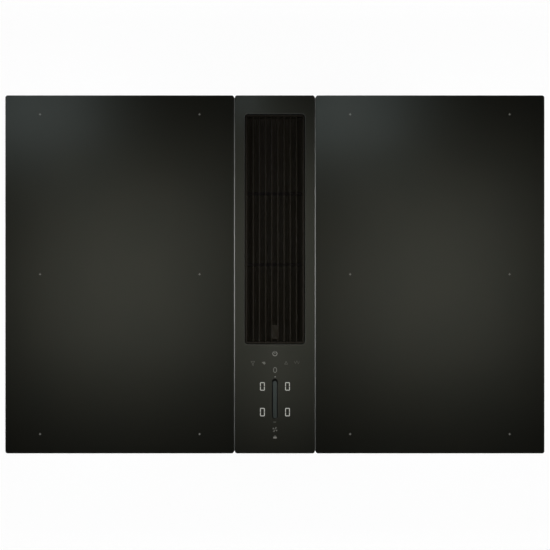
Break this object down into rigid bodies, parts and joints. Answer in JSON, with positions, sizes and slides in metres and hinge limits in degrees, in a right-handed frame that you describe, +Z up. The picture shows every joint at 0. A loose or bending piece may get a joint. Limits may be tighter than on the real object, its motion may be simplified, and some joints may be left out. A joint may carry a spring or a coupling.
{
  "type": "downdraft induction cooktop",
  "caption": "Modular induction cooktop with black glass plates, a slatted downdraft inlet between them, a centrifugal extractor below and a flat duct outlet.",
  "frame": {"origin": "centre of the glass field, on the worktop surface that the seal tapes rest on", "axes": "+X to the right, +Y to the back, +Z up; the user stands at -Y"},
  "size_m": [0.7754, 0.5175, 0.199],
  "materials": {
    "black_glass": "polished ceramic glass",
    "seal_foam": "matt",
    "grey_silicone": "satin",
    "galvanised_steel": "galvanised sheet",
    "screw_steel": "zinc plated",
    "mica": "matt",
    "aluminium_sheet": "mill finish",
    "copper_litz": "enamelled copper",
    "former_plastic": "matt",
    "ferrite": "sintered",
    "circuit_board": "solder resist",
    "black_plastic": "fine texture",
    "grey_plastic": "fine texture",
    "nozzle_plastic": "satin black",
    "filter_steel": "stainless",
    "display_plastic": "diffuse",
    "motor_steel": "laminated",
    "nylon": "matt"
  },
  "bodies": {
    "cooktop": {"left_glass": "black_glass", "right_glass": "black_glass", "centre_glass": "black_glass", "seal_tapes": "seal_foam", "joint_strips": "grey_silicone", "inlet_collar": "seal_foam", "upper_shell": "black_plastic", "lower_shell": "black_plastic", "blower_housing": "black_plastic", "bell_mouth": "grey_plastic", "motor_stator": "motor_steel", "motor_bearings": "screw_steel", "blower_cover": "black_plastic", "outlet_spigot": "grey_plastic", "screws": "screw_steel", "electronics_box": "grey_plastic", "driver_board": "circuit_board", "control_housing": "black_plastic", "control_board": "circuit_board", "display_modules": "display_plastic", "carrier_springs": "screw_steel", "cable_glands": "nylon", "left_housing": "galvanised_steel", "left_mica_sheet": "mica", "left_coil_windings": "copper_litz", "left_coil_formers": "former_plastic", "left_ferrite_bars": "ferrite", "left_coil_carrier": "aluminium_sheet", "left_power_board": "circuit_board", "left_heat_sink": "aluminium_sheet", "left_fan_frame": "black_plastic", "left_terminal_block": "grey_plastic", "right_housing": "galvanised_steel", "right_mica_sheet": "mica", "right_coil_windings": "copper_litz", "right_coil_formers": "former_plastic", "right_ferrite_bars": "ferrite", "right_coil_carrier": "aluminium_sheet", "right_power_board": "circuit_board", "right_heat_sink": "aluminium_sheet", "right_fan_frame": "black_plastic", "right_terminal_block": "grey_plastic"},
    "drip_tray": {"drip_tray": "black_plastic"},
    "grease_filter": {"filter_frame": "filter_steel", "filter_mesh": "filter_steel"},
    "inlet_nozzle": {"inlet_nozzle": "nozzle_plastic"},
    "impeller": {"impeller": "grey_plastic", "motor_rotor": "motor_steel"},
    "left_fan_rotor": {"left_fan_rotor": "black_plastic"},
    "right_fan_rotor": {"right_fan_rotor": "black_plastic"},
    "centre_front_clamp": {"centre_front_clamp": "screw_steel"},
    "centre_rear_clamp": {"centre_rear_clamp": "screw_steel"},
    "left_front_inner_clamp": {"left_front_inner_clamp": "screw_steel"},
    "left_front_outer_clamp": {"left_front_outer_clamp": "screw_steel"},
    "left_rear_inner_clamp": {"left_rear_inner_clamp": "screw_steel"},
    "left_rear_outer_clamp": {"left_rear_outer_clamp": "screw_steel"},
    "right_front_inner_clamp": {"right_front_inner_clamp": "screw_steel"},
    "right_front_outer_clamp": {"right_front_outer_clamp": "screw_steel"},
    "right_rear_inner_clamp": {"right_rear_inner_clamp": "screw_steel"},
    "right_rear_outer_clamp": {"right_rear_outer_clamp": "screw_steel"}
  },
  "joints": [
    {"name": "tray_lift", "type": "slide", "parent": "cooktop", "child": "drip_tray", "axis": [0, 0, 1], "range_m": [0, 0.2]},
    {"name": "filter_lift", "type": "slide", "parent": "drip_tray", "child": "grease_filter", "axis": [0, 0, 1], "range_m": [0, 0.16]},
    {"name": "nozzle_lift", "type": "slide", "parent": "grease_filter", "child": "inlet_nozzle", "axis": [0, 0, 1], "range_m": [0, 0.1]},
    {"name": "impeller_spin", "type": "hinge", "parent": "cooktop", "child": "impeller", "pos_m": [0.08502, -0.055, -0.17], "axis": [0, 0, 1], "continuous": true},
    {"name": "left_cooling_fan_spin", "type": "hinge", "parent": "cooktop", "child": "left_fan_rotor", "pos_m": [-0.2932, 0.06, -0.033], "axis": [0, 0, 1], "continuous": true},
    {"name": "right_cooling_fan_spin", "type": "hinge", "parent": "cooktop", "child": "right_fan_rotor", "pos_m": [0.2932, 0.06, -0.033], "axis": [0, 0, 1], "continuous": true},
    {"name": "centre_front_clamp_swivel", "type": "hinge", "parent": "cooktop", "child": "centre_front_clamp", "pos_m": [0, -0.2406, -0.034], "axis": [0, 0, -1], "range_deg": [0, 90]},
    {"name": "centre_rear_clamp_swivel", "type": "hinge", "parent": "cooktop", "child": "centre_rear_clamp", "pos_m": [0, 0.2406, -0.034], "axis": [0, 0, 1], "range_deg": [0, 90]},
    {"name": "left_front_inner_clamp_swivel", "type": "hinge", "parent": "cooktop", "child": "left_front_inner_clamp", "pos_m": [-0.1282, -0.2406, -0.034], "axis": [0, 0, 1], "range_deg": [0, 90]},
    {"name": "left_front_outer_clamp_swivel", "type": "hinge", "parent": "cooktop", "child": "left_front_outer_clamp", "pos_m": [-0.3182, -0.2406, -0.034], "axis": [0, 0, 1], "range_deg": [0, 90]},
    {"name": "left_rear_inner_clamp_swivel", "type": "hinge", "parent": "cooktop", "child": "left_rear_inner_clamp", "pos_m": [-0.1282, 0.2406, -0.034], "axis": [0, 0, -1], "range_deg": [0, 90]},
    {"name": "left_rear_outer_clamp_swivel", "type": "hinge", "parent": "cooktop", "child": "left_rear_outer_clamp", "pos_m": [-0.3182, 0.2406, -0.034], "axis": [0, 0, -1], "range_deg": [0, 90]},
    {"name": "right_front_inner_clamp_swivel", "type": "hinge", "parent": "cooktop", "child": "right_front_inner_clamp", "pos_m": [0.1282, -0.2406, -0.034], "axis": [0, 0, -1], "range_deg": [0, 90]},
    {"name": "right_front_outer_clamp_swivel", "type": "hinge", "parent": "cooktop", "child": "right_front_outer_clamp", "pos_m": [0.3182, -0.2406, -0.034], "axis": [0, 0, -1], "range_deg": [0, 90]},
    {"name": "right_rear_inner_clamp_swivel", "type": "hinge", "parent": "cooktop", "child": "right_rear_inner_clamp", "pos_m": [0.1282, 0.2406, -0.034], "axis": [0, 0, 1], "range_deg": [0, 90]},
    {"name": "right_rear_outer_clamp_swivel", "type": "hinge", "parent": "cooktop", "child": "right_rear_outer_clamp", "pos_m": [0.3182, 0.2406, -0.034], "axis": [0, 0, 1], "range_deg": [0, 90]}
  ]
}
